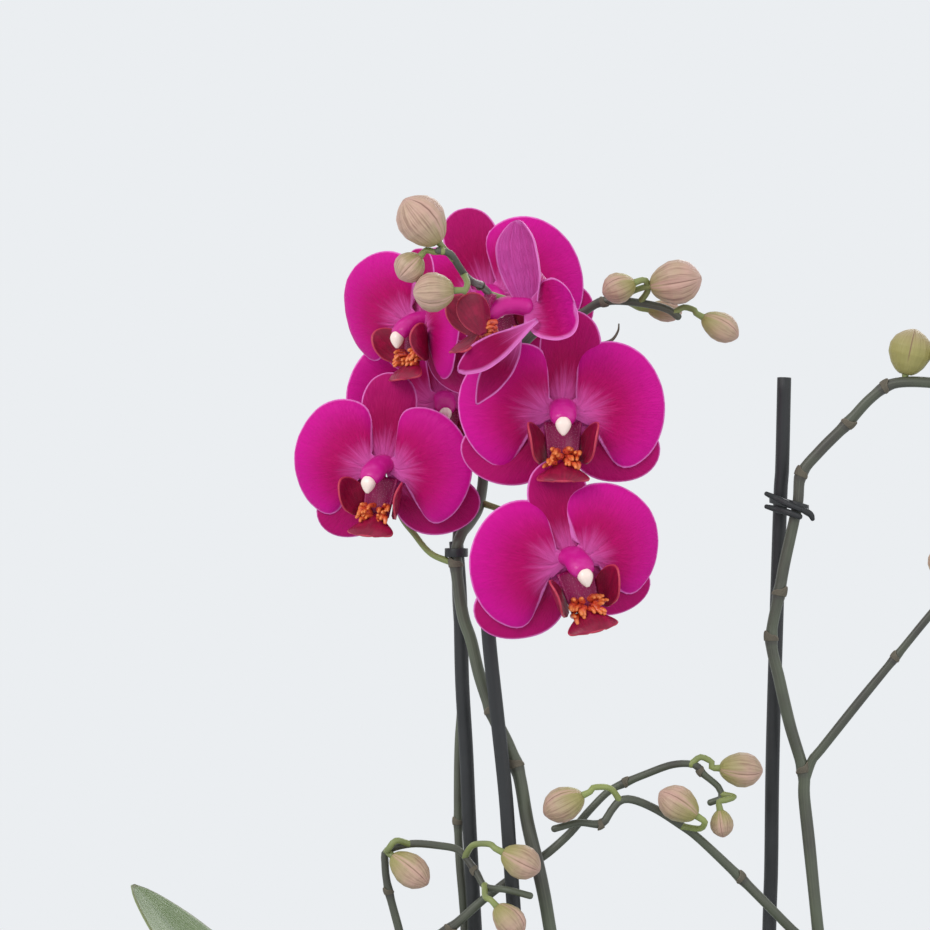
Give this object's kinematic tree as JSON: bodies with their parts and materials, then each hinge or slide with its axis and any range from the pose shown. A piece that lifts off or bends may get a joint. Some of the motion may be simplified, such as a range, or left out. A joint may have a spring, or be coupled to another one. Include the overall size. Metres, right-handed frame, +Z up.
{
  "type": "potted orchid",
  "caption": "Moth orchid in a round pot: arching flower stems with open pink flowers and buds, tied to upright stakes, above broad leaves.",
  "frame": {"origin": "middle of the pot's base, on the surface it stands on", "axes": "+Z up; the open flowers look towards -Y; +X is to the right when the flowers are seen from the front"},
  "size_m": [0.3915, 0.3092, 0.6307],
  "materials": {
    "stem": "satin plant stem",
    "petal": "soft velvety petal",
    "sepal": "soft velvety sepal",
    "lip": "waxy flower lip",
    "bud": "waxy bud",
    "leaf": "smooth thick leaf",
    "stake": "dark satin plastic",
    "bark": "rough bark chips",
    "pot": "white glaze",
    "root": "dry silvery root"
  },
  "bodies": {
    "root": {"aerial_root_1": "root", "aerial_root_2": "root", "bark": "bark", "bud_back_large": "bud", "bud_back_round": "bud", "bud_back_small": "bud", "bud_back_under": "bud", "bud_branch_left": "bud", "bud_branch_right": "bud", "bud_front_large": "bud", "bud_front_middle": "bud", "bud_front_small": "bud", "bud_low_left": "bud", "bud_low_middle": "bud", "bud_low_under": "bud", "bud_side_end": "bud", "bud_side_first": "bud", "bud_top": "bud", "bud_top_end": "bud", "bud_top_side": "bud", "bud_twig_large": "bud", "bud_twig_small": "bud", "clip_left": "stake", "clip_right": "stake", "crown": "leaf", "flower_hidden_lip": "lip", "flower_hidden_petals": "petal", "flower_hidden_sepals": "sepal", "flower_left_lip": "lip", "flower_left_petals": "petal", "flower_left_sepals": "sepal", "flower_low_left_lip": "lip", "flower_low_left_petals": "petal", "flower_low_left_sepals": "sepal", "flower_low_right_lip": "lip", "flower_low_right_petals": "petal", "flower_low_right_sepals": "sepal", "flower_right_lip": "lip", "flower_right_petals": "petal", "flower_right_sepals": "sepal", "flower_top_back_lip": "lip", "flower_top_back_petals": "petal", "flower_top_back_sepals": "sepal", "flower_top_lip": "lip", "flower_top_petals": "petal", "flower_top_sepals": "sepal", "leaf_1": "leaf", "leaf_2": "leaf", "leaf_3": "leaf", "leaf_4": "leaf", "leaf_5": "leaf", "pot": "pot", "spike_left": "stem", "spike_main": "stem", "spike_right": "stem", "spike_thin": "stem", "stake_left": "stake", "stake_middle": "stake", "stake_right": "stake"}
  },
  "joints": []
}
